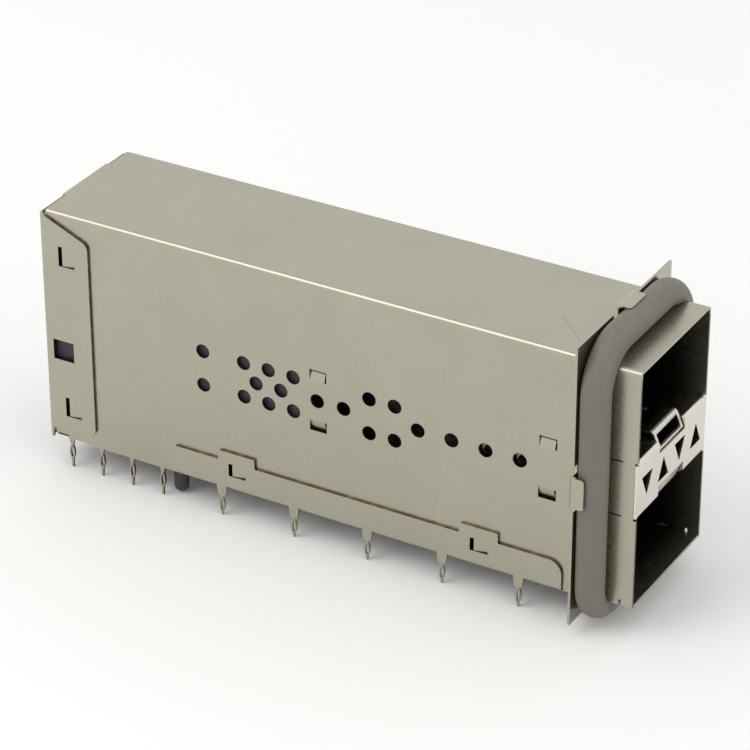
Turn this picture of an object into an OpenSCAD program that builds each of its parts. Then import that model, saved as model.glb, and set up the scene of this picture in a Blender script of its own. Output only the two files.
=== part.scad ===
// Stacked two-port pluggable-module cage and connector, ports belly to belly, with an
// elastomer gasket round the mouth and press-fit pins into the board.
// Origin: on the board's top (z = 0), under the cage, mouth_reach behind the mouth.
// +Z up, the ports open towards -Y, +X to the right as seen from the ports.

/* [Sheet metal] */
// Thickness of the plated sheet
sheet_t = 0.25; // [0.2:0.01:0.3]
// Outside radius of the folds
fold_r = 0.4; // [0.35:0.05:0.6]
// Clearance between sheets that lie against each other
seam_gap = 0.02; // [0.01:0.01:0.04]
// Clearance round sheet that passes through another sheet
slip_gap = 0.1; // [0.05:0.01:0.15]

/* [Cage body] */
// Width over the side walls
cage_w = 14.8; // [14.7:0.05:15.4]
// Height from the board to the top sheet
cage_h = 25.55; // [25.5:0.05:27]
// Length from the shoulder behind the gasket plate to the rear face
cage_len = 59.4; // [59:0.1:66]
// Distance from the origin forwards to the mouth
mouth_reach = 28.5; // [28:0.1:30]

/* [Neck] */
// Length from the mouth to the shoulder of the body
neck_len = 5.5; // [5.3:0.1:7]
// Width over the neck
neck_w = 14.5; // [14.4:0.05:14.6]
// Height over the neck
neck_h = 25.15; // [24.9:0.05:25.2]
// Height of the neck's underside above the board
neck_lift = 0.25; // [0.2:0.05:0.3]

/* [Port separator] */
// Height over the separator's two shelves
separator_h = 6.05; // [5.8:0.05:6.3]
// Length of the separator's shelves
separator_len = 35.3; // [34.8:0.1:35.4]
// Length of the separator's side cheeks
cheek_len = 17.5; // [8:0.5:18]
// Width of a latch tongue
tongue_w = 5.0; // [4:0.1:6]
// Length of a latch tongue
tongue_len = 12; // [8:0.5:16]
// Rise of a latch tongue's tip into its port
tongue_rise = 0.75; // [0.4:0.05:1]
// Depth of the notch that the tongue's lip drops into
lip_notch = 1.24; // [1:0.02:1.6]
// Width of a pointer cut-out in the separator's face
pointer_w = 2.2; // [1.6:0.1:2.8]
// Height of a pointer cut-out
pointer_h = 2.3; // [1.6:0.1:2.8]
// Spacing of the pointer cut-outs
pointer_pitch = 3.43; // [3.2:0.01:3.5]

/* [Gasket and its plate] */
// Width of the gasket plate
plate_w = 19.2; // [18.6:0.1:20]
// Height of the gasket plate
plate_h = 29.6; // [29:0.1:30.4]
// Width of a gasket retaining tab
tab_w = 3.25; // [2.5:0.05:4]
// Reach of a retaining tab in front of the plate
tab_reach = 1.3; // [0.8:0.1:1.6]
// How far the tabs stand outside the plate's edges
tab_stand = 0.6; // [0.5:0.05:0.7]
// Radial thickness of the gasket
gasket_radial = 3.0; // [2.8:0.05:3.2]
// Depth of the gasket from the plate to its front
gasket_depth = 3.15; // [3:0.05:3.6]
// Centre-line radius of the gasket's upper corners
gasket_upper_r = 3.6; // [3:0.1:6]
// Centre-line radius of the gasket's lower corners, which sag away from the neck less
gasket_lower_r = 5.0; // [3:0.1:6]

/* [Base sheet] */
// Height of the base sheet's side flanges
flange_h = 3.2; // [2.9:0.1:3.4]
// Height of the latching tabs on the flanges
latch_tab_h = 4.25; // [3.9:0.05:4.6]
// Length of a latching tab along the flange
latch_tab_len = 3.95; // [3.4:0.05:4.4]
// Distance from the mouth to the front edge of the flanges
flange_start = 7.2; // [6.8:0.1:8]
// Distance from the mouth to the rear edge of the flanges
flange_end = 49.9; // [49:0.1:50]

/* [Press-fit pins] */
// How far every pin reaches below the board's top
pin_reach = 3.15; // [2.6:0.05:3.6]
// Greatest width of a pin's spring eye
needle_w = 0.62; // [0.5:0.02:0.7]
// Spacing of the pins on the base sheet
base_pin_pitch = 8.22; // [8:0.02:8.4]
// Distance from the mouth to the first base pin
base_pin_start = 11.7; // [11.4:0.1:12]
// Spacing of the pins at the rear of the shell
rear_pin_pitch = 3.6; // [3.4:0.05:3.8]
// Distance from the mouth to the first rear pin
rear_pin_start = 51.7; // [51.4:0.05:51.9]

/* [Side vents] */
// Diameter of a vent hole
vent_d = 1.5; // [1.2:0.05:1.7]
// Spacing of vent rows above and below the centre row
vent_row = 1.86; // [1.75:0.01:1.95]

/* [Rear cover] */
// Length of the side flaps
flap_len = 5.55; // [5:0.05:6.5]
// Drop of the flaps' top edge from the rear corner to the front corner
flap_drop = 2.1; // [1.5:0.1:3]

/* [Connector] */
// Distance from the mouth to the card slots
slot_depth = 37.5; // [37:0.1:38]
// Distance from a shelf to the middle of its card slot
card_offset = 2.75; // [2.7:0.05:2.9]
// Height of a card slot
card_slot_h = 1.25; // [1.15:0.05:1.4]
// Width of a card slot
card_slot_w = 9.4; // [9.3:0.1:9.6]
// Height of the nose round a card slot
nose_h = 5.4; // [5:0.1:5.4]
// Width of the nose round a card slot
nose_w = 12.2; // [11.4:0.1:13]
// Spacing of the contact columns
contact_pitch = 0.8; // [0.78:0.01:0.82]
// Thickness of a moulded wafer
wafer_t = 0.74; // [0.7:0.01:0.76]
// Diameter of a locating peg
peg_d = 1.5; // [1.3:0.05:1.6]
// Length of a locating peg below the board's top
peg_len = 3.0; // [2:0.1:3.1]
// Distance between the two locating pegs
peg_span = 11.8; // [11.4:0.1:11.8]
// Distance from the mouth to the locating pegs
peg_depth = 50.4; // [50.2:0.1:50.4]

/* [Hidden] */
COLUMNS = 10;
$fn = 32;

TIN = [0.74, 0.73, 0.66];
BRIGHT_TIN = [0.82, 0.81, 0.75];
ELASTOMER = [0.55, 0.53, 0.49];
HOUSING_BLACK = [0.07, 0.07, 0.08];
WAFER_BLACK = [0.12, 0.12, 0.13];
CONTACT_GOLD = [0.83, 0.69, 0.38];

tiny = 0.02;                      // overlap that joins two solids of one piece
far = 40;                         // longer than any cut needs to be

half_w = cage_w / 2;              // outer face of a side wall
wall_in = half_w - sheet_t;       // inner face of a side wall
cover_half = half_w + seam_gap + sheet_t;
port_half = neck_w / 2 - sheet_t;
mid_z = neck_lift + neck_h / 2;   // plane between the two ports
shelf = separator_h / 2;          // from that plane to a shelf's outer face
port_fit = 0.05;                  // side clearance of sheet inside the neck
cage_end = neck_len + cage_len;   // rear face, measured from the mouth
top_end = cage_end - sheet_t - 0.05;
floor_end = 49.1;
row_fn = 24;

// Distance d behind the mouth, as a place along Y
function at(d) = d - mouth_reach;
function unit(v) = v / norm(v);
function left_of(v) = [-v[1], v[0]];
// Points on an arc round c, from angle a0 to a1
function arc(c, r, a0, a1, n = 6) =
    [for (i = [0 : n]) c + r * [cos(a0 + (a1 - a0) * i / n), sin(a0 + (a1 - a0) * i / n)]];
// Corner i of path p, moved sideways by s with mitred joints
function mitred(p, i, s) =
    let (
        a = left_of(unit(i > 0 ? p[i] - p[i - 1] : p[1] - p[0])),
        b = left_of(unit(i < len(p) - 1 ? p[i + 1] - p[i] : p[i] - p[i - 1]))
    )
    p[i] + s * (a + b) / (1 + a * b);

// ---- helpers -------------------------------------------------------------

// A drawing in (y, z) made into a plate that spans x0 to x1
module across(x0, x1) {
    translate([x0, 0, 0]) rotate([90, 0, 90]) linear_extrude(x1 - x0) children();
}

// A drawing in (x, z) run from distance d0 to d1 behind the mouth
module run(d0, d1) {
    translate([0, at(d1), 0]) rotate([90, 0, 0]) linear_extrude(d1 - d0) children();
}

// A box from distance d0 to d1, x0 to x1 and z0 to z1
module block(d0, d1, x0, x1, z0, z1) {
    translate([x0, at(d0), z0]) cube([x1 - x0, d1 - d0, z1 - z0]);
}

// The children on both sides of the cage
module both_sides() {
    children();
    mirror([1, 0, 0]) children();
}

// A strip of width w along the path p
module ribbon(p, w) {
    polygon(concat(
        [for (i = [0 : len(p) - 1]) mitred(p, i, w / 2)],
        [for (i = [len(p) - 1 : -1 : 0]) mitred(p, i, -w / 2)]
    ));
}

// Two arcs that meet in points, w wide and l long
module lens(w, l) {
    r = (l * l + w * w) / (4 * w);
    intersection() {
        translate([r - w / 2, 0]) circle(r, $fn = 96);
        translate([w / 2 - r, 0]) circle(r, $fn = 96);
    }
}

// An arch open at the bottom: sheet of thickness t over width w and height h
module arch(w, h, t, r) {
    module solid(w, h, r) {
        translate([-w / 2, -1]) square([w, h - r + 1]);
        translate([-w / 2 + r, 0]) square([w - 2 * r, h]);
        for (s = [-1, 1]) translate([s * (w / 2 - r), h - r]) circle(r);
    }
    intersection() {
        difference() {
            solid(w, h, r);
            translate([0, -t]) solid(w - 2 * t, h, r - t);
        }
        translate([-w, 0]) square([2 * w, h + 1]);
    }
}

// ---- press-fit pins ------------------------------------------------------

// A flat press-fit pin in (y, z): a tapered stem, a spring eye and a tip
module pin_shape(stem_w, stem_len) {
    eye_len = 2.0;
    eye_z = -stem_len - 0.3 - eye_len / 2 + 0.35;
    difference() {
        union() {
            polygon([[-stem_w / 2, 0.4], [stem_w / 2, 0.4], [stem_w / 2, 0],
                     [stem_w * 0.36, -stem_len], [-stem_w * 0.36, -stem_len], [-stem_w / 2, 0]]);
            translate([-0.13, -stem_len - 0.3]) square([0.26, 0.32]);
            translate([0, eye_z]) lens(needle_w, eye_len);
            polygon([[-0.12, eye_z - eye_len / 2 + 0.25], [0.12, eye_z - eye_len / 2 + 0.25],
                     [0.06, -pin_reach], [-0.06, -pin_reach]]);
        }
        translate([0, eye_z]) lens(needle_w * 0.48, eye_len * 0.7);
    }
}

// ---- main shell ----------------------------------------------------------

vent_fore = 2.77;
// Vent centres as [distance behind the mouth, row above or below the centre]
VENTS = concat(
    [for (i = [0 : 3]) [11.95 + 3.6 * i, 0]],
    [for (i = [0 : 1], r = [-1, 1]) [25.25 + vent_fore * i, r]],
    [for (i = [0 : 1]) [30.8 + 2.9 * i, 0]],
    [for (i = [0 : 2], r = [-1, 1]) [36.35 + vent_fore * i, r]],
    [for (i = [0 : 1]) [37.74 + vent_fore * i, 0]],
    [for (r = [-1, 1]) [46.5, r]]
);
LATCH_TABS = [15.95, 42.75];      // middles of the latching tabs
LATCH_WINDOW = [1.95, 1.4];       // length and height of a latching window
latch_window_z = 2.3;
FLAP_WINDOWS = [[61.85, 20.9], [61.85, 3.9]];
FLAP_WINDOW = [1.85, 2.15];
SIDE_WINDOW = [62.7, 10.3, 2.4, 2.2];
SEPARATOR_LANCES = [9.05, 33.6];  // middles of the lances that lock the shelves
LANCE = [1.85, 1.1];              // length and height of such a lance
lance_in = 0.32;

// A lance that springs outwards into a window, rooted at its front edge
module outward_lance(d, z, size, lift) {
    slot = 0.42;
    translate([0, 0, z - size[1] / 2 + 0.06]) linear_extrude(size[1] - 0.12)
        polygon([[-wall_in, at(d - size[0] / 2)], [-half_w, at(d - size[0] / 2)],
                 [-half_w - lift, at(d + size[0] / 2 - slot)],
                 [-wall_in - lift, at(d + size[0] / 2 - slot)]]);
}

// A lance bent inwards: s = 1 is hinged below and leans in at its top, s = -1 the reverse
module inward_lance(d, s) {
    z0 = mid_z + s * (shelf - 0.85);
    z1 = z0 + s * LANCE[1];
    run(d - LANCE[0] / 2 + 0.22, d + LANCE[0] / 2 - 0.03)
        polygon([[-half_w, z0], [-wall_in, z0], [-wall_in + lance_in, z1],
                 [-half_w + lance_in, z1]]);
}

module shell_cuts() {
    // vents through both walls
    for (v = VENTS) translate([-far, at(v[0]), mid_z + v[1] * vent_row])
        rotate([0, 90, 0]) cylinder(d = vent_d, h = 2 * far, $fn = row_fn);
    // room for the base sheet's floor and fold
    block(flange_start - slip_gap, flange_end + slip_gap, -far, far, -1, sheet_t + 0.05);
    // clearance over the rear cover's feet and over the housing's edge
    block(62.8, cage_end, -far, far, -1, 0.45);
    block(59.6, 62.1, -far, far, -1, 0.14);
    // the separator's face covers the walls' front edges
    block(-1, sheet_t + 0.03, -far, far, mid_z - shelf - 0.04, mid_z + shelf + 0.04);
    // relief notches low in the neck's walls
    across(-far, far) translate([at(1.3), neck_lift])
        polygon([[-0.18, -0.1], [0.18, -0.1], [0.12, 0.6], [-0.12, 0.6]]);
    // slits for the separator's shelf ends
    for (s = [-1, 1]) block(1.5, 2.7, -far, far,
        mid_z + s * (shelf - sheet_t / 2) - 0.07, mid_z + s * (shelf - sheet_t / 2) + 0.07);
    // openings round the lances
    for (d = LATCH_TABS) across(-far, far)
        translate([at(d), latch_window_z]) square(LATCH_WINDOW, center = true);
    for (w = FLAP_WINDOWS) across(-far, far)
        translate([at(w[0]), w[1]]) square(FLAP_WINDOW, center = true);
    across(-far, far) translate([at(SIDE_WINDOW[0]), SIDE_WINDOW[1]])
        square([SIDE_WINDOW[2], SIDE_WINDOW[3]], center = true);
    for (d = SEPARATOR_LANCES, s = [-1, 1]) across(-far, far)
        translate([at(d), mid_z + s * (shelf - 0.85 + LANCE[1] / 2 + 0.03)])
            square([LANCE[0], LANCE[1] + 0.06], center = true);
    // corners set back beside the top sheet's rear tongue
    for (s = [-1, 1]) block(top_end - 0.35, cage_end, s < 0 ? -far : 3.85, s < 0 ? -3.85 : far,
        cage_h - fold_r, cage_h + 1);
    block(top_end - 0.2, cage_end, -far, -wall_in + 0.02, -1, cage_h + 1);
    block(top_end - 0.2, cage_end, wall_in - 0.02, far, -1, cage_h + 1);
}

module main_shell() {
    color(TIN) {
        difference() {
            union() {
                run(neck_len, top_end) arch(cage_w, cage_h, sheet_t, fold_r);
                run(0, neck_len + sheet_t) intersection() {
                    translate([0, neck_lift]) arch(neck_w, neck_h, sheet_t, fold_r);
                    translate([-far, neck_lift]) square([2 * far, far]);
                }
            }
            shell_cuts();
        }
        both_sides() {
            for (d = LATCH_TABS) outward_lance(d, latch_window_z, LATCH_WINDOW, sheet_t - 0.02);
            for (w = FLAP_WINDOWS) outward_lance(w[0], w[1], FLAP_WINDOW, sheet_t - 0.02);
            for (d = SEPARATOR_LANCES, s = [-1, 1]) inward_lance(d, s);
            across(-half_w, -wall_in) for (i = [0 : 3])
                translate([at(rear_pin_start + i * rear_pin_pitch), 0]) pin_shape(0.55, 0.45);
        }
    }
}

// ---- base sheet ----------------------------------------------------------

module flange_outline() {
    r = 1.4;
    polygon(concat(
        [[at(flange_end), -1], [at(flange_end), flange_h]],
        [for (i = [1, 0], p = [[0.5, 0, 0.22], [0.5, 1, 0], [-0.5, 1, 0], [-0.5, 0, -0.06]])
            [at(LATCH_TABS[i] + p[0] * latch_tab_len + p[2]),
             p[1] == 1 ? latch_tab_h : flange_h]],
        arc([at(flange_start + r), flange_h - r], r, 90, 180),
        [[at(flange_start), -1]]
    ));
}

module base_sheet() {
    color(TIN) {
        difference() {
            intersection() {
                run(flange_start, flange_end) mirror([0, 1]) translate([0, -far])
                    arch(2 * cover_half, far, sheet_t, fold_r);
                across(-far, far) flange_outline();
            }
            for (d = LATCH_TABS) across(-far, far)
                translate([at(d), latch_window_z]) square(LATCH_WINDOW, center = true);
            // the connector housing sits on the board behind the floor
            block(floor_end, far * 2, -wall_in, wall_in, -1, 1);
            // rounded reliefs in the fold beside every pin
            for (i = [0 : 4], s = [-1, 1]) both_sides() across(half_w - tiny, far)
                translate([at(base_pin_start + i * base_pin_pitch) + s * 0.74, 0])
                    circle(0.24);
        }
        // floor between the walls, its step and the neck's floor
        half_floor = wall_in - port_fit;
        block(neck_len, flange_start + tiny, -half_floor, half_floor, 0, sheet_t);
        block(neck_len, neck_len + sheet_t, -port_half + port_fit, port_half - port_fit,
              0, neck_lift + sheet_t);
        block(0, neck_len + sheet_t, -port_half + port_fit, port_half - port_fit,
              neck_lift, neck_lift + sheet_t);
        both_sides() across(-cover_half, -cover_half + sheet_t) for (i = [0 : 4])
            translate([at(base_pin_start + i * base_pin_pitch), 0]) pin_shape(1.1, 0.95);
    }
}

// ---- rear cover ----------------------------------------------------------

module flap_outline() {
    z_top = cage_h - 0.45;
    front = at(cage_end - flap_len);
    z_front = z_top - flap_drop;
    polygon(concat(
        [[at(cage_end) + 1, z_top], [at(cage_end - 0.3), z_top]],
        arc([front + 0.9, z_front - 0.72], 0.9, 114, 180),
        arc([front + 0.7, 2.1], 0.7, 180, 262),
        [[at(62.6), 1.07], [at(cage_end - 0.5), 1.07], [at(cage_end - 0.45), 0],
         [at(cage_end) + 1, 0]]
    ));
}

module rear_cover() {
    color(TIN) difference() {
        intersection() {
            translate([0, at(cage_end - far), 0]) linear_extrude(cage_h)
                arch(2 * cover_half, far, sheet_t, fold_r);
            across(-far, far) flap_outline();
        }
        for (w = FLAP_WINDOWS) across(-far, far)
            translate([at(w[0]), w[1]]) square(FLAP_WINDOW, center = true);
        across(-far, far) translate([at(SIDE_WINDOW[0]), SIDE_WINDOW[1]])
            square([SIDE_WINDOW[2], SIDE_WINDOW[3]], center = true);
    }
}

// ---- port separator ------------------------------------------------------

lip_z = shelf - lip_notch;        // bottom of the lip notch above the mid plane

// Half of the face, folded over its top edge and run back as a shelf
module separator_shelf() {
    notch_half = tongue_w / 2 + 0.15;
    module edge_profile() {
        square([0.8, sheet_t]);
    }
    difference() {
        union() {
            // shelf
            block(fold_r, separator_len, -port_half + port_fit, port_half - port_fit,
                  shelf - sheet_t, shelf);
            // fold between face and shelf
            translate([-port_half + port_fit, at(fold_r), shelf - fold_r]) rotate([0, 90, 0])
                linear_extrude(2 * (port_half - port_fit)) difference() {
                    intersection() {
                        circle(fold_r);
                        translate([-fold_r, -fold_r]) square(fold_r);
                    }
                    circle(fold_r - sheet_t);
                }
            // upper half of the face
            block(0, sheet_t, -port_half + port_fit, port_half - port_fit, -tiny, shelf - fold_r);
            // its ends over the walls' edges
            both_sides() block(0, sheet_t, -neck_w / 2, -port_half + port_fit + tiny,
                               -tiny, shelf - fold_r / 2);
        }
        // notch and slot round the tongue
        block(-1, fold_r + tiny, -notch_half, notch_half, lip_z, shelf + 1);
        block(fold_r, tongue_len, -notch_half, notch_half, shelf - 1, shelf + 1);
        // notches that the shell's lances lock into
        for (d = SEPARATOR_LANCES) both_sides()
            block(d - LANCE[0] / 2 - 0.05, d + LANCE[0] / 2 + 0.05, -port_half - 1,
                  -port_half + 0.35, shelf - 1, shelf + 1);
    }
}

// Latch tongue: rises to its bridge, rolls over and drops its lip into the notch
module tongue() {
    bridge_d = 1.25;
    rise = shelf + tongue_rise - sheet_t / 2;
    path = concat(
        [[at(tongue_len + 0.6), shelf - sheet_t / 2], [at(tongue_len - 0.4), shelf - sheet_t / 2],
         [at(bridge_d + 0.35), rise]],
        arc([at(bridge_d), rise - 0.5], 0.5, 80, 155, 4),
        [[at(0.22), lip_z + 0.22]]
    );
    difference() {
        across(-tongue_w / 2, tongue_w / 2) ribbon(path, sheet_t);
        // latch hole behind the bridge
        linear_extrude(far) polygon([[-1.5, at(2.1)], [1.5, at(2.1)], [1.5, at(3.4)],
                                     [0.5, at(5)], [-0.5, at(5)], [-1.5, at(3.4)]]);
        // window in the lip
        block(-1, bridge_d - 0.42, -tongue_w / 2 + 0.35, tongue_w / 2 - 0.35,
              lip_z + 0.42, shelf + tongue_rise - 0.28);
    }
}

module pointer(up) {
    polygon([[-pointer_w / 2, -up * pointer_h / 2], [pointer_w / 2, -up * pointer_h / 2],
             [0, up * pointer_h / 2]]);
}

module port_separator() {
    color(BRIGHT_TIN) translate([0, 0, mid_z]) {
        difference() {
            union() {
                separator_shelf();
                mirror([0, 0, 1]) separator_shelf();
                // cheeks folded back from the face's ends
                both_sides() block(0, cheek_len, -port_half + port_fit,
                                   -port_half + port_fit + sheet_t, -shelf + 0.6, shelf - 0.6);
            }
            for (i = [0 : 3]) run(-1, 1) translate([(i - 1.5) * pointer_pitch, -0.1])
                pointer(i % 2 == 0 ? -1 : 1);
            // vents in the cheeks, a little ahead of the shell's
            for (v = [0, 1]) translate([-far, at(VENTS[v][0] - 0.35), -0.25])
                rotate([0, 90, 0]) cylinder(d = vent_d, h = 2 * far, $fn = row_fn);
        }
        tongue();
        mirror([0, 0, 1]) tongue();
    }
}

// ---- gasket and plate ----------------------------------------------------

plate_rear = neck_len;
plate_front = neck_len - sheet_t;

// A tab on the plate's -X edge, folded forwards over the gasket, centred on z = 0
module retaining_tab() {
    r = fold_r;
    edge = plate_w / 2 + tab_stand;
    tip = at(plate_front - tab_reach);
    intersection() {
        linear_extrude(tab_w, center = true) {
            translate([-edge, tip]) square([sheet_t, at(plate_rear) - r - tip + tiny]);
            translate([-edge + r - tiny, at(plate_front)]) square([tab_stand + 0.5 - r, sheet_t]);
            translate([-edge + r, at(plate_rear) - r]) difference() {
                intersection() {
                    circle(r);
                    translate([-r, 0]) square(r);
                }
                circle(r - sheet_t);
            }
        }
        across(-far, far) {
            h = tab_w / 2;
            polygon(concat([[at(plate_rear) + 1, h], [at(plate_rear) + 1, -h]],
                arc([tip + 0.35, -h + 0.35], 0.35, 270, 180),
                arc([tip + 0.35, h - 0.35], 0.35, 180, 90)));
        }
    }
}

// A shape drawn for the -X edge, repeated on the plate's four edges
module on_four_edges() {
    for (q = [0 : 3]) {
        reach = q % 2 == 0 ? 0 : (plate_h - plate_w) / 2;
        rotate([0, 90 * q, 0]) translate([-reach, 0, 0]) children();
    }
}

module gasket_plate() {
    relief = 0.8;
    color(BRIGHT_TIN) translate([0, 0, mid_z]) {
        difference() {
            run(plate_front, plate_rear) difference() {
                square([plate_w, plate_h], center = true);
                square([neck_w + 2 * slip_gap, neck_h + 2 * slip_gap], center = true);
            }
            on_four_edges() for (s = [-1, 1])
                translate([-plate_w / 2 - 1, at(plate_front) - 1,
                           s * (tab_w + relief) / 2 - relief / 2])
                    cube([1.6, 3, relief]);
        }
        on_four_edges() retaining_tab();
    }
}

module gasket() {
    rr = gasket_radial / 2;
    flat = gasket_depth / 2 - rr;
    a = neck_w / 2 + rr + seam_gap;
    b = neck_h / 2 + rr + seam_gap;
    low = gasket_lower_r;
    up = gasket_upper_r;
    module section() {
        for (s = [-1, 1]) translate([0, s * flat]) circle(rr);
        translate([-rr, -flat]) square([2 * rr, 2 * flat]);
    }
    color(ELASTOMER) translate([0, 0, mid_z]) difference() {
        translate([0, at(plate_front - gasket_depth / 2 - seam_gap), 0]) {
            for (s = [-1, 1]) {
                r = s < 0 ? low : up;
                translate([s * a, 0, low - b]) linear_extrude(2 * b - low - up) section();
                translate([r - a, 0, s * b]) rotate([0, 90, 0])
                    linear_extrude(2 * (a - r)) rotate(90) section();
            }
            for (q = [[1, 1, 0, up], [-1, 1, 270, up], [-1, -1, 180, low], [1, -1, 90, low]])
                translate([q[0] * (a - q[3]), 0, q[1] * (b - q[3])]) rotate([0, q[2], 0])
                    rotate([90, 0, 0]) rotate_extrude(angle = 90)
                        translate([q[3], 0]) section();
        }
        // drawn tight over the neck's corners
        run(-1, neck_len) square([neck_w + 2 * seam_gap, neck_h + 2 * seam_gap], center = true);
        // seats that the tabs press into it
        on_four_edges() translate([-plate_w / 2 - tab_stand - 1,
                                   at(plate_front - tab_reach) - 0.1, -tab_w / 2 - 0.1])
            cube([1 + sheet_t + seam_gap, 3, tab_w + 0.2]);
    }
}

// ---- connector -----------------------------------------------------------

nose_front = slot_depth;
bridge_front = separator_len + 0.3;   // the block between the ports
block_front = floor_end + 0.2;
block_rear = cage_end - 0.5;
pocket_front = 51.5;
arm_front = 45;
wafer_half = (COLUMNS - 1) / 2 * contact_pitch + wafer_t / 2 + 0.06;
arm_h = 2.5;
wafer_top = 22;
function slot_z(port) = mid_z + port * (shelf + card_offset);

module connector_housing() {
    skin = 0.1;
    side = wall_in - skin;
    color(HOUSING_BLACK) {
        difference() {
            union() {
                block(bridge_front, block_front + 1, -side + 0.15, side - 0.15,
                      mid_z - shelf + sheet_t + 0.05, mid_z + shelf - sheet_t - 0.05);
                for (port = [-1, 1]) block(nose_front, block_front + 1, -nose_w / 2, nose_w / 2,
                    slot_z(port) - nose_h / 2, slot_z(port) + nose_h / 2);
                block(block_front, block_rear, -side, side, 0, 23.6);
            }
            for (port = [-1, 1]) {
                // card slot with a lead-in, then the contact channel
                block(nose_front - 1, nose_front + 7, -card_slot_w / 2, card_slot_w / 2,
                      slot_z(port) - card_slot_h / 2, slot_z(port) + card_slot_h / 2);
                block(nose_front + 0.9, pocket_front + 1, -wafer_half, wafer_half,
                      slot_z(port) - arm_h / 2 - 0.05, slot_z(port) + arm_h / 2 + 0.05);
            }
            // pocket that the wafers slide into from behind
            block(pocket_front, cage_end, -wafer_half, wafer_half, -1, wafer_top + 0.4);
            // cores in the side cheeks
            both_sides() block(block_front + 1.6, block_rear + 1, -side + 1, -wafer_half - 1,
                               1.2, 22);
        }
        both_sides() translate([peg_span / 2, at(peg_depth), 0]) {
            translate([0, 0, -peg_len + peg_d / 2])
                cylinder(d = peg_d, h = peg_len - peg_d / 2 + 0.5, $fn = 48);
            translate([0, 0, -peg_len + peg_d / 2]) sphere(d = peg_d, $fn = 48);
        }
    }
}

// One terminal in (y, z): spring contact, buried run, bend and press-fit tail
module terminal_shape(port, row) {
    beam = 0.34;
    z_run = slot_z(port) + row * 0.72;
    rank = (port + 1) + (row + 1) / 2;      // 0 for the shortest, 3 for the longest
    y_drop = 54.4 + 2.75 * rank;
    ribbon([[at(slot_depth + 1.0), slot_z(port) + row * 0.72],
            [at(slot_depth + 1.8), slot_z(port) + row * 0.5],
            [at(slot_depth + 3.0), slot_z(port) + row * 0.62],
            [at(arm_front), z_run],
            [at(y_drop - 1.4), z_run],
            [at(y_drop), z_run - 1.4],
            [at(y_drop), -0.9]], beam);
    translate([at(y_drop), -1.35]) lens(0.5, 1.5);
    translate([at(y_drop) - 0.1, -2.4]) square([0.2, 1.2]);
}

CONTACT_ROWS = [[-1, -1], [-1, 1], [1, -1], [1, 1]];

// The four terminals of column k, the two rows of a port in neighbouring planes
module terminals(k) {
    metal = 0.2;
    color(CONTACT_GOLD) for (c = CONTACT_ROWS) {
        x = (k - (COLUMNS - 1) / 2) * contact_pitch + c[1] * contact_pitch / 4;
        across(x - metal / 2, x + metal / 2) terminal_shape(c[0], c[1]);
    }
}

// Moulded wafer of column k, two arms forward and one body down to the board
module wafer(k) {
    x = (k - (COLUMNS - 1) / 2) * contact_pitch;
    rear = block_rear - 0.2;
    color(WAFER_BLACK) difference() {
        across(x - wafer_t / 2, x + wafer_t / 2) {
            polygon([[at(pocket_front + 0.3), 0.3], [at(rear), 0.3], [at(rear), wafer_top - 3],
                     [at(rear - 3), wafer_top], [at(pocket_front + 0.3), wafer_top]]);
            for (port = [-1, 1])
                translate([at(arm_front), slot_z(port) - arm_h / 2])
                    square([pocket_front + 0.5 - arm_front, arm_h]);
        }
        terminals(k);
    }
}

// ---- nodes ---------------------------------------------------------------

main_shell();
base_sheet();
rear_cover();
port_separator();
gasket_plate();
gasket();
connector_housing();
for (k = [1 : COLUMNS]) wafer(k - 1);
for (k = [1 : COLUMNS]) terminals(k - 1);
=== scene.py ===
"""Finishes and studio for a stacked cage of pluggable network modules.

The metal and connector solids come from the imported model. This script gives each of them its
procedural finish, builds the gasket as a swept ring in place of its solid, and sets the stage.
"""

import math

import bpy
import numpy as np
from bpy.props import FloatProperty, FloatVectorProperty, PointerProperty
from bpy.types import Operator, Panel, PropertyGroup
from mathutils import Matrix, Vector


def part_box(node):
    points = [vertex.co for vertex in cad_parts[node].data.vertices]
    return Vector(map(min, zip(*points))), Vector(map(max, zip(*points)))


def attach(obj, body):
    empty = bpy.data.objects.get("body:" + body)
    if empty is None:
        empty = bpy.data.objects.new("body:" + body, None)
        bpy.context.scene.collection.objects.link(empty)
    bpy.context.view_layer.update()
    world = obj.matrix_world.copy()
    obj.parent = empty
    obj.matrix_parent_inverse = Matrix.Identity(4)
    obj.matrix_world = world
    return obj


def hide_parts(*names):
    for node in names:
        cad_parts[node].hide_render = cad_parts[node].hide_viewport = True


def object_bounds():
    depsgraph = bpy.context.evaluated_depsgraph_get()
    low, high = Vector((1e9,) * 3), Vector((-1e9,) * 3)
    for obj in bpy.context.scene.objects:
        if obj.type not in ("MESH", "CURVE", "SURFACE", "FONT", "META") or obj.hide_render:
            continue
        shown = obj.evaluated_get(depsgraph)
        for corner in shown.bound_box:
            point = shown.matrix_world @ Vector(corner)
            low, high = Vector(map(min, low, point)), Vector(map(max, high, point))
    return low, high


bl_info = {
    "name": "Stacked Module Cage Finish",
    "version": (1, 0, 0),
    "blender": (4, 5, 0),
    "location": "View3D > Sidebar > Cage",
    "description": "Finishes and studio for a stacked press-fit cage and its connector",
    "category": "Object",
}

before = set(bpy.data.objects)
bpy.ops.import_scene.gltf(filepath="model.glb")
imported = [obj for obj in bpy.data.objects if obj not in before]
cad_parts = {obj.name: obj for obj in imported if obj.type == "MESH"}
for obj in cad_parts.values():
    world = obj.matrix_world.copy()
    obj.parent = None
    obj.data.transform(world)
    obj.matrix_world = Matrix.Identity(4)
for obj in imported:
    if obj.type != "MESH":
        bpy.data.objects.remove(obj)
CAD_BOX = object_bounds()
MM = 0.001
MOUTH_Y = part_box("port_separator")[0].y
SHELL_LOW, SHELL_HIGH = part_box("main_shell")
TOP_Z = SHELL_HIGH.z
NECK_HALF_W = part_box("port_separator")[1].x
NECK_LIFT = 0.25 * MM  # the neck's underside above the board
SHEET = 0.25 * MM
COLUMNS = range(1, 11)

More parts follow.
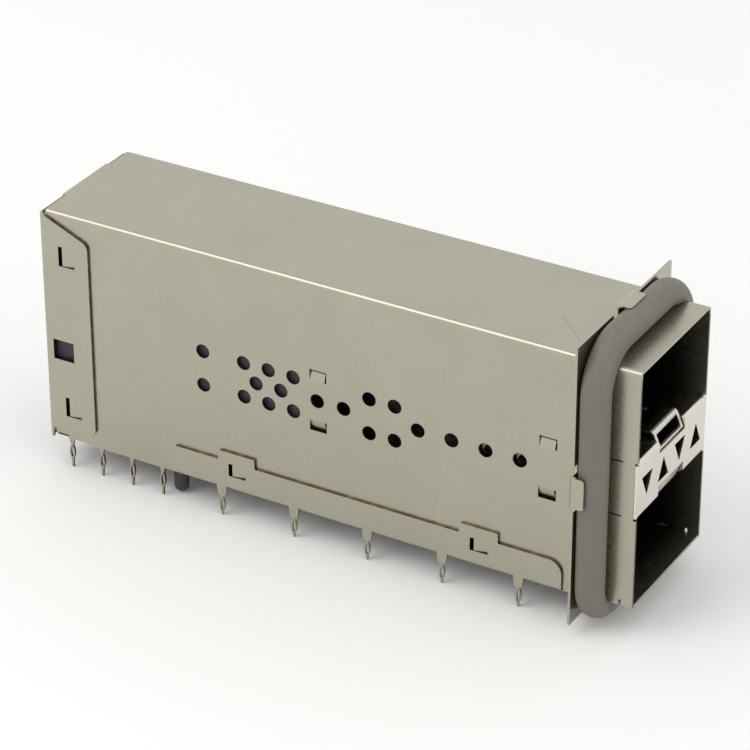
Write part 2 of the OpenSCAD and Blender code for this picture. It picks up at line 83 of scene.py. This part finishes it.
GASKET_HALF_RADIAL = 1.36 * MM  # half the section's thickness across the ring, at its top
GASKET_HALF_DEPTH = 1.46 * MM  # half the section's depth along Y
GASKET_CORNER_LOW = 3.0 * MM
GASKET_CORNER_HIGH = 4.4 * MM

LENS_MM = 168.086
CAMERA_PLACE = (-253.596, -114.341, 180.864)
CAMERA_FORWARD = (0.751331, 0.432430, -0.498504)
CAMERA_RIGHT = (0.498168, -0.867079, -0.001329)


def place(x, behind_mouth, z):
    """A point of the cage: x and z in millimetres, and a distance behind the mouth."""
    return Vector((x * MM, MOUTH_Y + behind_mouth * MM, z * MM))


# ---------------------------------------------------------------- settings


class SheetSettings(PropertyGroup):
    """Colours and gloss of the plated sheet metal, and the strength of the painted shade in its ports."""

    shell_color: FloatVectorProperty(
        name="Shell plating",
        description="Colour of the satin tin on the shell, base and rear cover",
        subtype="COLOR",
        size=3,
        min=0,
        max=1,
        default=(0.415, 0.40, 0.325),
    )
    face_color: FloatVectorProperty(
        name="Bright plating",
        description="Colour of the brighter tin on the separator and gasket plate",
        subtype="COLOR",
        size=3,
        min=0,
        max=1,
        default=(0.70, 0.68, 0.60),
    )
    shell_roughness: FloatProperty(
        name="Shell roughness",
        description="How far the satin plating scatters a reflection",
        subtype="FACTOR",
        min=0,
        max=1,
        default=0.3,
    )
    face_roughness: FloatProperty(
        name="Bright roughness",
        description="How far the bright plating scatters a reflection",
        subtype="FACTOR",
        min=0,
        max=1,
        default=0.24,
    )
    # Port shade is painted shade: it darkens the plating's colour inside the ports to stand in for the
    # shade there. The plating itself is no duller.
    port_shade: FloatProperty(
        name="Port shade",
        description="How dull the plating is inside the ports",
        subtype="FACTOR",
        min=0,
        max=1,
        default=0.8,
    )
    grain: FloatProperty(
        name="Rolling grain",
        description="Depth of the grain that rolling leaves along the sheet",
        subtype="FACTOR",
        min=0,
        max=1,
        default=0.25,
    )


class MouldingSettings(PropertyGroup):
    """Colours of the gasket and of the connector's mouldings."""

    gasket_color: FloatVectorProperty(
        name="Gasket",
        description="Colour of the conductive elastomer",
        subtype="COLOR",
        size=3,
        min=0,
        max=1,
        default=(0.150, 0.137, 0.115),
    )
    housing_color: FloatVectorProperty(
        name="Housing",
        description="Colour of the connector housing",
        subtype="COLOR",
        size=3,
        min=0,
        max=1,
        default=(0.03, 0.031, 0.038),
    )
    contact_color: FloatVectorProperty(
        name="Contacts",
        description="Colour of the plated contacts",
        subtype="COLOR",
        size=3,
        min=0,
        max=1,
        default=(0.78, 0.55, 0.22),
    )


class StudioSettings(PropertyGroup):
    """Light levels and floor of the studio."""

    key_power: FloatProperty(
        name="Key light",
        description="Power of the large soft light over the rear left of the cage",
        unit="POWER",
        min=0,
        max=50,
        default=0.8,
    )
    fill_power: FloatProperty(
        name="Front fill",
        description="Power of the soft light in front of the ports",
        unit="POWER",
        min=0,
        max=50,
        default=0.3,
    )
    ambient: FloatProperty(
        name="Ambient level",
        description="Strength of the even light from all round",
        min=0,
        max=2,
        default=0.85,
    )
    floor_color: FloatVectorProperty(
        name="Floor",
        description="Colour of the floor",
        subtype="COLOR",
        size=3,
        min=0,
        max=1,
        default=(0.96, 0.96, 0.955),
    )


# ---------------------------------------------------------------- node tools


def link(tree, a, b):
    tree.links.new(a, b)


def math_node(tree, operation, a, b=None, c=None, clamp=False):
    """A Math node whose inputs are sockets or numbers. Returns its output."""
    node = tree.nodes.new("ShaderNodeMath")
    node.operation = operation
    node.use_clamp = clamp
    for socket, value in zip(node.inputs, (a, b, c)):
        if isinstance(value, bpy.types.NodeSocket):
            link(tree, value, socket)
        elif value is not None:
            socket.default_value = value
    return node.outputs[0]


def vector_node(tree, operation, a, b=None, scale=None):
    """A Vector Math node whose inputs are sockets or vectors. Returns the node."""
    node = tree.nodes.new("ShaderNodeVectorMath")
    node.operation = operation
    for socket, value in zip(node.inputs, (a, b)):
        if isinstance(value, bpy.types.NodeSocket):
            link(tree, value, socket)
        elif value is not None:
            socket.default_value = value
    if isinstance(scale, bpy.types.NodeSocket):
        link(tree, scale, node.inputs["Scale"])
    elif scale is not None:
        node.inputs["Scale"].default_value = scale
    return node


def noise_node(tree, vector, scale, detail=2.0, roughness=0.5):
    node = tree.nodes.new("ShaderNodeTexNoise")
    node.inputs["Detail"].default_value = detail
    node.inputs["Roughness"].default_value = roughness
    if isinstance(scale, bpy.types.NodeSocket):
        link(tree, scale, node.inputs["Scale"])
    else:
        node.inputs["Scale"].default_value = scale
    link(tree, vector, node.inputs["Vector"])
    return node.outputs["Fac"]


def stretch(tree, vector, scale):
    node = tree.nodes.new("ShaderNodeMapping")
    node.inputs["Scale"].default_value = scale
    link(tree, vector, node.inputs["Vector"])
    return node.outputs["Vector"]


def remap(tree, value, low, high, to_low=0.0, to_high=1.0, smooth=True):
    """Maps low..high of value to to_low..to_high, clamped."""
    node = tree.nodes.new("ShaderNodeMapRange")
    node.interpolation_type = "SMOOTHSTEP" if smooth else "LINEAR"
    link(tree, value, node.inputs["Value"])
    for name, number in (("From Min", low), ("From Max", high), ("To Min", to_low), ("To Max", to_high)):
        if isinstance(number, bpy.types.NodeSocket):
            link(tree, number, node.inputs[name])
        else:
            node.inputs[name].default_value = number
    return node.outputs["Result"]


def separate(tree, vector):
    """The three parts of a vector socket, by axis."""
    node = tree.nodes.new("ShaderNodeSeparateXYZ")
    link(tree, vector, node.inputs[0])
    return node.outputs


def mix_color(tree, factor, a, b, blend="MIX"):
    node = tree.nodes.new("ShaderNodeMix")
    node.data_type = "RGBA"
    node.blend_type = blend
    for socket, value in ((node.inputs["Factor"], factor), (node.inputs[6], a), (node.inputs[7], b)):
        if isinstance(value, bpy.types.NodeSocket):
            link(tree, value, socket)
        else:
            socket.default_value = value
    return node.outputs[2]


def new_group(name, inputs, outputs):
    """A shader node group with named inputs and outputs. Returns it and its two end nodes."""
    tree = bpy.data.node_groups.new(name, "ShaderNodeTree")
    for label, kind, default in inputs:
        socket = tree.interface.new_socket(label, in_out="INPUT", socket_type=kind)
        if default is not None:
            socket.default_value = default
    for label, kind in outputs:
        tree.interface.new_socket(label, in_out="OUTPUT", socket_type=kind)
    return tree, tree.nodes.new("NodeGroupInput").outputs, tree.nodes.new("NodeGroupOutput").inputs


def rolled_sheet_group():
    """Rolled and plated sheet: cloudy tone, rolling grain along Y, and a fine stipple."""
    name = "Rolled Plated Sheet"
    if name in bpy.data.node_groups:
        return bpy.data.node_groups[name]
    tree, given, out = new_group(
        name,
        [
            ("Position", "NodeSocketVector", None),
            ("Plating", "NodeSocketColor", (0.5, 0.48, 0.4, 1)),
            ("Cloud", "NodeSocketFloat", 0.12),
            ("Grain", "NodeSocketFloat", 0.25),
            ("Roughness", "NodeSocketFloat", 0.4),
        ],
        [
            ("Color", "NodeSocketColor"),
            ("Roughness", "NodeSocketFloat"),
            ("Height", "NodeSocketFloat"),
        ],
    )
    position = given["Position"]
    cloud = noise_node(tree, position, 180.0, 3.0)
    fine = noise_node(tree, position, 2600.0, 3.0, 0.65)
    rolled = noise_node(tree, stretch(tree, position, (5200, 420, 5200)), 1.0, 2.0)
    cloud_swing = math_node(tree, "SUBTRACT", cloud, 0.5)
    fine_swing = math_node(tree, "SUBTRACT", fine, 0.5)
    tone = math_node(tree, "ADD", cloud_swing, math_node(tree, "MULTIPLY", fine_swing, 0.45))
    swing = math_node(tree, "MULTIPLY", tone, given["Cloud"])
    lift = math_node(tree, "ADD", 1.0, swing)
    scaled = vector_node(tree, "SCALE", given["Plating"], scale=lift).outputs[0]
    link(tree, scaled, out["Color"])
    rough = math_node(tree, "MULTIPLY_ADD", fine_swing, 0.22, given["Roughness"], clamp=True)
    link(tree, rough, out["Roughness"])
    height = math_node(tree, "MULTIPLY", math_node(tree, "ADD", rolled, fine), given["Grain"])
    link(tree, height, out["Height"])
    return tree


def score_line_group():
    """A score from one point to another: 1 within the line's half width, 0 outside it.

    The distance is from the point to its nearest place on the segment between the ends.
    """
    name = "Score Line"
    if name in bpy.data.node_groups:
        return bpy.data.node_groups[name]
    tree, given, out = new_group(
        name,
        [
            ("Position", "NodeSocketVector", None),
            ("Start", "NodeSocketVector", (0, 0, 0)),
            ("End", "NodeSocketVector", (0, 0, 1)),
            ("Half Width", "NodeSocketFloat", 0.0001),
        ],
        [("Mask", "NodeSocketFloat")],
    )
    offset = vector_node(tree, "SUBTRACT", given["Position"], given["Start"]).outputs[0]
    span = vector_node(tree, "SUBTRACT", given["End"], given["Start"]).outputs[0]
    along = vector_node(tree, "DOT_PRODUCT", offset, span).outputs["Value"]
    length2 = vector_node(tree, "DOT_PRODUCT", span, span).outputs["Value"]
    share = math_node(tree, "DIVIDE", along, length2, clamp=True)
    nearest = vector_node(tree, "SCALE", span, scale=share).outputs[0]
    gap = vector_node(tree, "DISTANCE", offset, nearest).outputs["Value"]
    ratio = math_node(tree, "DIVIDE", gap, given["Half Width"])
    link(tree, remap(tree, ratio, 1.3, 0.5), out["Mask"])
    return tree


def cut_edge_group():
    """Sheared edges of the side sheets: 1 on faces that don't face sideways within a region.

    The region is a box in (distance from the middle plane, y, z) between its two corners. A wall
    or flap there faces sideways, so whatever faces any other way is its sheared edge.
    """
    name = "Cut Edge"
    if name in bpy.data.node_groups:
        return bpy.data.node_groups[name]
    tree, given, out = new_group(
        name,
        [
            ("Normal", "NodeSocketVector", None),
            ("Position", "NodeSocketVector", None),
            ("Region Low", "NodeSocketVector", (0, -1, -1)),
            ("Region High", "NodeSocketVector", (1, 1, 1)),
        ],
        [("Mask", "NodeSocketFloat")],
    )
    normal = separate(tree, given["Normal"])
    mask = remap(tree, math_node(tree, "ABSOLUTE", normal["X"]), 0.7, 0.4)
    parts = separate(tree, given["Position"])
    low = separate(tree, given["Region Low"])
    high = separate(tree, given["Region High"])
    for axis in "XYZ":
        value = parts[axis]
        if axis == "X":
            value = math_node(tree, "ABSOLUTE", value)
        inside = math_node(
            tree,
            "MULTIPLY",
            math_node(tree, "GREATER_THAN", value, low[axis]),
            math_node(tree, "LESS_THAN", value, high[axis]),
        )
        mask = math_node(tree, "MULTIPLY", mask, inside)
    patch = noise_node(tree, given["Position"], 900.0, 2.0)
    strength = remap(tree, patch, 0.25, 0.6, 0.7, 1.0)
    link(tree, math_node(tree, "MULTIPLY", mask, strength), out["Mask"])
    return tree


def port_shade_group():
    """Painted shade inside the ports: 0 at the mouth, rising to 1 over a given distance behind it.

    The mask is 0 outside the inner faces of the side walls and above the top sheet's. It has no
    limit at the rear or below, so the outer back and the floor's underside take it as well.
    """
    name = "Port Shade"
    if name in bpy.data.node_groups:
        return bpy.data.node_groups[name]
    tree, given, out = new_group(
        name,
        [
            ("Position", "NodeSocketVector", None),
            ("Half Width", "NodeSocketFloat", 0.00716),
            ("Top", "NodeSocketFloat", 0.02535),
            ("Mouth", "NodeSocketFloat", -0.0285),
            ("Reach", "NodeSocketFloat", 0.004),
        ],
        [("Mask", "NodeSocketFloat")],
    )
    parts = separate(tree, given["Position"])
    from_middle = math_node(tree, "ABSOLUTE", parts["X"])
    side = math_node(tree, "LESS_THAN", from_middle, given["Half Width"])
    below = math_node(tree, "LESS_THAN", parts["Z"], given["Top"])
    behind_mouth = math_node(tree, "SUBTRACT", parts["Y"], given["Mouth"])
    depth = math_node(tree, "DIVIDE", behind_mouth, given["Reach"])
    inside = math_node(tree, "MULTIPLY", side, below)
    link(tree, math_node(tree, "MULTIPLY", inside, remap(tree, depth, 0.0, 1.0)), out["Mask"])
    return tree


def moulded_group():
    """Moulded skin: slow tone change, fine texture, and dust that settles on upward faces."""
    name = "Moulded Skin"
    if name in bpy.data.node_groups:
        return bpy.data.node_groups[name]
    tree, given, out = new_group(
        name,
        [
            ("Position", "NodeSocketVector", None),
            ("Normal", "NodeSocketVector", None),
            ("Base", "NodeSocketColor", (0.1, 0.1, 0.1, 1)),
            ("Tone", "NodeSocketFloat", 0.1),
            ("Dust", "NodeSocketFloat", 0.1),
            ("Texture Scale", "NodeSocketFloat", 3000.0),
        ],
        [("Color", "NodeSocketColor"), ("Roughness", "NodeSocketFloat"), ("Height", "NodeSocketFloat")],
    )
    cloud = noise_node(tree, given["Position"], 260.0, 3.0)
    fine = noise_node(tree, given["Position"], given["Texture Scale"], 3.0, 0.6)
    slow_part = math_node(tree, "MULTIPLY", cloud, 0.6)
    both = math_node(tree, "ADD", slow_part, math_node(tree, "MULTIPLY", fine, 0.4))
    swing = math_node(tree, "MULTIPLY", math_node(tree, "SUBTRACT", both, 0.5), given["Tone"])
    base = vector_node(tree, "SCALE", given["Base"], scale=math_node(tree, "ADD", 1.0, swing)).outputs[0]
    up = remap(tree, separate(tree, given["Normal"])["Z"], 0.2, 1.0)
    settled = math_node(tree, "MULTIPLY", up, given["Dust"])
    dust = math_node(tree, "MULTIPLY", settled, remap(tree, fine, 0.3, 0.7))
    link(tree, mix_color(tree, dust, base, (0.5, 0.49, 0.45, 1)), out["Color"])
    link(tree, remap(tree, both, 0.3, 0.7, 0.48, 0.66, smooth=False), out["Roughness"])
    link(tree, fine, out["Height"])
    return tree


def group_node(tree, group, **values):
    """Places a group in a material. Values are sockets to link or constants, by input name."""
    node = tree.nodes.new("ShaderNodeGroup")
    node.node_tree = group
    for label, value in values.items():
        socket = node.inputs[label.replace("_", " ")]
        if isinstance(value, bpy.types.NodeSocket):
            link(tree, value, socket)
        else:
            socket.default_value = value
    return node


def new_material(name, metallic=0.0, specular=0.5):
    """A material with a Principled shader. Returns it, its tree, shader and useful sockets."""
    material = bpy.data.materials.new(name)
    material.use_nodes = True
    tree = material.node_tree
    shader = tree.nodes["Principled BSDF"]
    shader.inputs["Metallic"].default_value = metallic
    shader.inputs["Specular IOR Level"].default_value = specular
    position = tree.nodes.new("ShaderNodeTexCoord").outputs["Object"]
    normal = tree.nodes.new("ShaderNodeNewGeometry").outputs["Normal"]
    return material, tree, shader, position, normal


def add_bump(tree, shader, height, strength, distance):
    bump = tree.nodes.new("ShaderNodeBump")
    bump.inputs["Strength"].default_value = strength
    bump.inputs["Distance"].default_value = distance
    link(tree, height, bump.inputs["Height"])
    link(tree, bump.outputs["Normal"], shader.inputs["Normal"])


def rgba(color):
    return (color[0], color[1], color[2], 1.0)


def plated_material(name, color, roughness, grain, edge_and_gap_shade_color, region=None, shade=0.0, scores=()):
    """Plated sheet: rolled sheet, sheared edges in a region darkened as bare metal with painted gap shade,
    painted shade in the ports, score lines.
    """
    material, tree, shader, position, normal = new_material(name, 1.0)
    sheet = group_node(
        tree, rolled_sheet_group(), Position=position, Plating=rgba(color), Grain=grain, Roughness=roughness
    )
    surface = sheet.outputs["Color"]
    if shade > 0.0:
        # Painted shade: inside the ports the base colour is mixed towards near black to stand in for the
        # shade there.
        port = group_node(tree, port_shade_group(), Position=position, Mouth=MOUTH_Y, Top=TOP_Z - 0.2 * MM)
        painted_port_shade = math_node(tree, "MULTIPLY", port.outputs["Mask"], shade)
        surface = mix_color(tree, painted_port_shade, surface, (0.03, 0.03, 0.028, 1))
    if region:
        edge = group_node(
            tree,
            cut_edge_group(),
            Position=position,
            Normal=normal,
            Region_Low=region[0],
            Region_High=region[1],
        )
        # Sheared edges take a dark brown: partly the bare base metal, partly painted shade of the narrow
        # gaps beside the flaps and flanges.
        surface = mix_color(tree, edge.outputs["Mask"], surface, rgba(edge_and_gap_shade_color))
    height = sheet.outputs["Height"]
    for start, end, half_width in scores:
        score = group_node(
            tree, score_line_group(), Position=position, Start=start, End=end, Half_Width=half_width
        )
        faded = math_node(tree, "MULTIPLY", score.outputs["Mask"], 0.55)
        surface = mix_color(tree, faded, surface, (0.16, 0.15, 0.12, 1))
        height = math_node(tree, "SUBTRACT", height, score.outputs["Mask"])
    link(tree, surface, shader.inputs["Base Color"])
    link(tree, sheet.outputs["Roughness"], shader.inputs["Roughness"])
    add_bump(tree, shader, height, 0.25, 0.00002)
    return material


def moulded_material(name, color, tone, dust, texture_scale, bump, specular=0.5):
    material, tree, shader, position, normal = new_material(name, 0.0, specular)
    skin = group_node(
        tree,
        moulded_group(),
        Position=position,
        Normal=normal,
        Base=rgba(color),
        Tone=tone,
        Dust=dust,
        Texture_Scale=texture_scale,
    )
    link(tree, skin.outputs["Color"], shader.inputs["Base Color"])
    link(tree, skin.outputs["Roughness"], shader.inputs["Roughness"])
    add_bump(tree, shader, skin.outputs["Height"], bump, 0.00003)
    return material


def assign(material, *nodes):
    """Gives a CAD node's slots the material."""
    for name in nodes:
        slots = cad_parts[name].material_slots
        for slot in slots:
            slot.material = material


# ---------------------------------------------------------------- pieces


def grid_faces(rows, columns):
    """Quads of a closed-in-columns grid, as an array of corner numbers."""
    i, j = np.meshgrid(np.arange(rows - 1), np.arange(columns), indexing="ij")
    k = (j + 1) % columns
    corners = np.stack([i * columns + j, i * columns + k, (i + 1) * columns + k, (i + 1) * columns + j], -1)
    return corners.reshape(-1, 4)


class CAGE_OT_sheets(Operator):
    """Plated finish of the shell, base sheet and rear cover"""

    bl_idname = "cage.sheets"
    bl_label = "Finish Sheets"

    def execute(self, context):
        look = context.scene.cage_sheets
        score = (
            (-1.47 * MM, MOUTH_Y + 10.83 * MM, TOP_Z),
            (-4.89 * MM, MOUTH_Y + 7.39 * MM, TOP_Z),
            0.045 * MM,  # half width
        )
        rear = SHELL_HIGH.y
        regions = {
            "main_shell": ((6.95 * MM, -1, -1), (1, 1, TOP_Z - 0.95 * MM)),
            "base_sheet": ((7.35 * MM, -1, 0.5 * MM), (1, 1, 1)),
            "rear_cover": ((7.35 * MM, -1, 0.5 * MM), (1, rear - 0.35 * MM, 1)),
        }
        for node, region in regions.items():
            material = plated_material(
                "Satin Tin " + node.replace("_", " "),
                look.shell_color,
                look.shell_roughness,
                look.grain,
                # Dark brown of the sheared edges: bare base metal, made darker as painted shade of the gaps
                # beside them.
                (0.10, 0.075, 0.045),
                region,
                # Painted shade from the port mask, which also reaches the outer back and the floor's
                # underside.
                look.port_shade,
                [score] if node == "main_shell" else (),
            )
            assign(material, node)
        return {"FINISHED"}


class CAGE_OT_bright_sheets(Operator):
    """Bright finish of the port separator and the gasket plate"""

    bl_idname = "cage.bright_sheets"
    bl_label = "Finish Bright Sheets"

    def execute(self, context):
        look = context.scene.cage_sheets
        separator = plated_material(
            "Bright Tin",
            look.face_color,
            look.face_roughness,
            look.grain * 0.5,
            (0.3, 0.28, 0.22),
            None,
            # Painted shade inside the ports on the separator as well.
            look.port_shade,
        )
        assign(separator, "port_separator")
        plate = plated_material(
            "Gloss Tin", look.shell_color, look.face_roughness * 0.6, look.grain * 0.3, (0.3, 0.28, 0.22)
        )
        assign(plate, "gasket_plate")
        return {"FINISHED"}


def between(start, end, spacing):
    """Points spaced evenly between two points, without the two."""
    gap = end - start
    count = int(np.linalg.norm(gap) / spacing)
    share = np.arange(1, count)[:, None] / count
    return start + share * gap


def ring_path(half_w, half_h, corner_low, corner_high, steps=16, spacing=0.5 * MM):
    """A rounded rectangle in (x, z) round the origin, with its outward direction at each point.

    Each corner is a quarter circle of its own radius, and the straight sides between the corners
    are divided evenly.
    """
    corners = (
        (half_w, half_h, corner_high, 0.0),
        (-half_w, half_h, corner_high, 90.0),
        (-half_w, -half_h, corner_low, 180.0),
        (half_w, -half_h, corner_low, 270.0),
    )
    arcs, directions = [], []
    for x, z, r, start in corners:
        turn = np.radians(start + np.linspace(0, 90, steps))
        direction = np.stack([np.cos(turn), np.sin(turn)], -1)
        arcs.append(np.array([x - np.sign(x) * r, z - np.sign(z) * r]) + r * direction)
        directions.append(direction)
    points, outward = [], []
    for i, arc in enumerate(arcs):
        following = (i + 1) % len(arcs)
        side = between(arc[-1], arcs[following][0], spacing)
        points += [arc, side]
        outward += [directions[i], np.repeat(directions[following][:1], len(side), 0)]
    return np.concatenate(points), np.concatenate(outward)


def swept_oval(path, outward, radial, half_depth, sides=40):
    """An oval section at every path point, as arrays of x, y and z with one row for each point.

    point(u) = path + radial cos(u) outward, at half_depth sin(u) along Y.
    """
    around = np.linspace(0, 2 * np.pi, sides, endpoint=False)
    reach = radial[:, None] * np.cos(around)
    x = path[:, :1] + outward[:, :1] * reach
    z = path[:, 1:] + outward[:, 1:] * reach
    y = half_depth * np.sin(around) + np.zeros_like(reach)
    return x, y, z


class CAGE_OT_gasket(Operator):
    """The elastomer gasket: an oval section swept round the neck, pressed flat at its corners.

    The radial half width shrinks by 7% from the top to the bottom of the cage, and two slow sines
    multiplied ripple it by up to 1.2% along the path. Its outside stays where the full width has
    its centre line, less what the width lost. Points inside the neck move out to its nearest face.
    """

    bl_idname = "cage.gasket"
    bl_label = "Build Gasket"

    def execute(self, context):
        look = context.scene.cage_mouldings
        low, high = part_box("gasket")
        middle = (low.z + high.z) / 2
        neck_half_h = middle - NECK_LIFT
        plate_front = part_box("gasket_plate")[1].y - SHEET
        thick = GASKET_HALF_RADIAL
        path, outward = ring_path(
            NECK_HALF_W + thick, neck_half_h + thick, GASKET_CORNER_LOW, GASKET_CORNER_HIGH
        )
        height_share = np.clip((path[:, 1] + neck_half_h) / (2 * neck_half_h), 0, 1)
        step = np.arange(len(path))
        ripple = 1 + 0.012 * np.sin(step * 0.23) * np.sin(step * 0.071)
        radial = thick * (0.93 + 0.07 * height_share) * ripple
        path = path - outward * (thick - radial)[:, None]
        x, y, z = swept_oval(path, outward, radial, GASKET_HALF_DEPTH)
        y = y + plate_front - GASKET_HALF_DEPTH
        inside = (np.abs(x) < NECK_HALF_W) & (np.abs(z) < neck_half_h)
        to_side = NECK_HALF_W - np.abs(x)
        to_top = neck_half_h - np.abs(z)
        x = np.where(inside & (to_side < to_top), np.sign(x) * NECK_HALF_W, x)
        z = np.where(inside & (to_side >= to_top), np.sign(z) * neck_half_h, z)
        points = np.stack([x, y, z + middle], -1)
        count, sides = x.shape
        faces = grid_faces(count + 1, sides) % (count * sides)
        mesh = bpy.data.meshes.new("gasket_ring")
        mesh.from_pydata(points.reshape(-1, 3).tolist(), [], faces.tolist())
        mesh.shade_smooth()
        ring = bpy.data.objects.new("gasket_ring", mesh)
        context.scene.collection.objects.link(ring)
        mesh.materials.append(
            moulded_material("Conductive Elastomer", look.gasket_color, 0.3, 0.10, 2400.0, 0.25)
        )
        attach(ring, "root")
        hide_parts("gasket")
        return {"FINISHED"}


class CAGE_OT_connector(Operator):
    """Finishes of the connector housing, its wafers and terminals"""

    bl_idname = "cage.connector"
    bl_label = "Finish Connector"

    def execute(self, context):
        look = context.scene.cage_mouldings
        housing = moulded_material("Housing Plastic", look.housing_color, 0.3, 0.03, 3500.0, 0.2)
        assign(housing, "connector_housing")
        wafer_color = [2.2 * c for c in look.housing_color]
        wafer = moulded_material("Wafer Plastic", wafer_color, 0.3, 0.03, 4000.0, 0.2)
        assign(wafer, *[f"wafer_{k}" for k in COLUMNS])
        contact = plated_material("Contact Plating", look.contact_color, 0.28, 0.1, (0.55, 0.38, 0.16))
        assign(contact, *[f"terminals_{k}" for k in COLUMNS])
        return {"FINISHED"}


class CAGE_OT_stage(Operator):
    """Floor, soft lights, surroundings and camera"""

    bl_idname = "cage.stage"
    bl_label = "Set Stage"

    def execute(self, context):
        look = context.scene.cage_studio
        make_floor(look)
        make_world(context, look)
        make_lights(look)
        make_camera(context)
        context.scene.view_settings.view_transform = "Standard"
        return {"FINISHED"}


def make_floor(look):
    """A floor under the lowest point: a flat disc of rings, 3 m across, spaced wider outwards."""
    rings, spokes = 12, 96
    radius = 1.5 * (np.arange(rings) / (rings - 1)) ** 1.5
    radius[0] = 0.001
    angle = np.linspace(0, 2 * np.pi, spokes, endpoint=False)
    r, a = np.meshgrid(radius, angle, indexing="ij")
    points = np.stack([r * np.cos(a), r * np.sin(a), np.full_like(r, CAD_BOX[0][2])], -1)
    mesh = bpy.data.meshes.new("floor")
    faces = grid_faces(rings, spokes)[:, ::-1].tolist()
    faces.append(list(range(spokes)))
    mesh.from_pydata(points.reshape(-1, 3).tolist(), [], faces)
    floor = bpy.data.objects.new("floor", mesh)
    bpy.context.scene.collection.objects.link(floor)
    material, tree, shader, position, _ = new_material("Pale Floor", 0.0, 0.2)
    tone = noise_node(tree, position, 6.0, 2.0)
    low = [0.985 * c for c in look.floor_color]
    color = mix_color(tree, tone, rgba(low), rgba(look.floor_color))
    link(tree, color, shader.inputs["Base Color"])
    shader.inputs["Roughness"].default_value = 0.9
    floor.data.materials.append(material)


def make_world(context, look):
    """Even light all round, and plain white where the camera, gloss or glass looks past."""
    world = bpy.data.worlds.new("studio")
    context.scene.world = world
    world.use_nodes = True
    tree = world.node_tree
    background = tree.nodes["Background"]
    background.inputs["Color"].default_value = (1, 1, 1, 1)
    path = tree.nodes.new("ShaderNodeLightPath")
    seen = math_node(tree, "MAXIMUM", path.outputs["Is Camera Ray"], path.outputs["Is Transmission Ray"])
    seen = math_node(tree, "MAXIMUM", seen, path.outputs["Is Glossy Ray"])
    strength = math_node(tree, "MULTIPLY_ADD", seen, 1.0 - look.ambient, look.ambient)
    link(tree, strength, background.inputs["Strength"])


def area_light(name, power, size, location, target, color=(1, 1, 1)):
    data = bpy.data.lights.new(name, "AREA")
    data.energy = power
    data.shape = "RECTANGLE"
    data.size, data.size_y = size
    data.color = color
    lamp = bpy.data.objects.new(name, data)
    bpy.context.scene.collection.objects.link(lamp)
    lamp.location = location
    lamp.rotation_euler = (Vector(target) - Vector(location)).to_track_quat("-Z", "Y").to_euler()
    return lamp


def make_lights(look):
    target = (0, 0, 0.012)
    area_light("key", look.key_power, (0.35, 0.35), (-0.30, 0.22, 0.38), target, (1.0, 0.99, 0.96))
    area_light("front_fill", look.fill_power, (0.3, 0.2), (-0.08, -0.45, 0.16), target, (1.0, 0.99, 0.96))


def make_camera(context):
    """The camera stands to the left and above, in front of the ports."""
    data = bpy.data.cameras.new("camera")
    data.sensor_width = 36.0
    data.lens = LENS_MM
    data.clip_start, data.clip_end = 0.01, 10
    camera = bpy.data.objects.new("camera", data)
    context.scene.collection.objects.link(camera)
    forward = Vector(CAMERA_FORWARD).normalized()
    right = Vector(CAMERA_RIGHT)
    right = (right - forward * right.dot(forward)).normalized()
    up = right.cross(forward)
    rotation = Matrix((right, up, -forward)).transposed().to_4x4()
    camera.matrix_world = Matrix.Translation(place(*CAMERA_PLACE)) @ rotation
    context.scene.camera = camera


# ---------------------------------------------------------------- add-on


class CAGE_PT_panel(Panel):
    """Lists the cage's finishes and their settings"""

    bl_label = "Module Cage"
    bl_idname = "CAGE_PT_panel"
    bl_space_type = "VIEW_3D"
    bl_region_type = "UI"
    bl_category = "Cage"

    def draw(self, context):
        layout = self.layout
        scene = context.scene
        for title, settings in (
            ("Sheets", scene.cage_sheets),
            ("Mouldings", scene.cage_mouldings),
            ("Studio", scene.cage_studio),
        ):
            box = layout.box()
            box.label(text=title)
            for name in settings.__annotations__:
                box.prop(settings, name)
        for operator in OPERATORS:
            layout.operator(operator.bl_idname)


OPERATORS = (
    CAGE_OT_sheets,
    CAGE_OT_bright_sheets,
    CAGE_OT_gasket,
    CAGE_OT_connector,
    CAGE_OT_stage,
)
CLASSES = (SheetSettings, MouldingSettings, StudioSettings, *OPERATORS, CAGE_PT_panel)


def register():
    for cls in CLASSES:
        bpy.utils.register_class(cls)
    bpy.types.Scene.cage_sheets = PointerProperty(type=SheetSettings)
    bpy.types.Scene.cage_mouldings = PointerProperty(type=MouldingSettings)
    bpy.types.Scene.cage_studio = PointerProperty(type=StudioSettings)


def unregister():
    del bpy.types.Scene.cage_studio
    del bpy.types.Scene.cage_mouldings
    del bpy.types.Scene.cage_sheets
    for cls in reversed(CLASSES):
        bpy.utils.unregister_class(cls)


def main():
    register()
    bpy.ops.cage.sheets()
    bpy.ops.cage.bright_sheets()
    bpy.ops.cage.gasket()
    bpy.ops.cage.connector()
    bpy.ops.cage.stage()


if __name__ == "__main__":
    main()
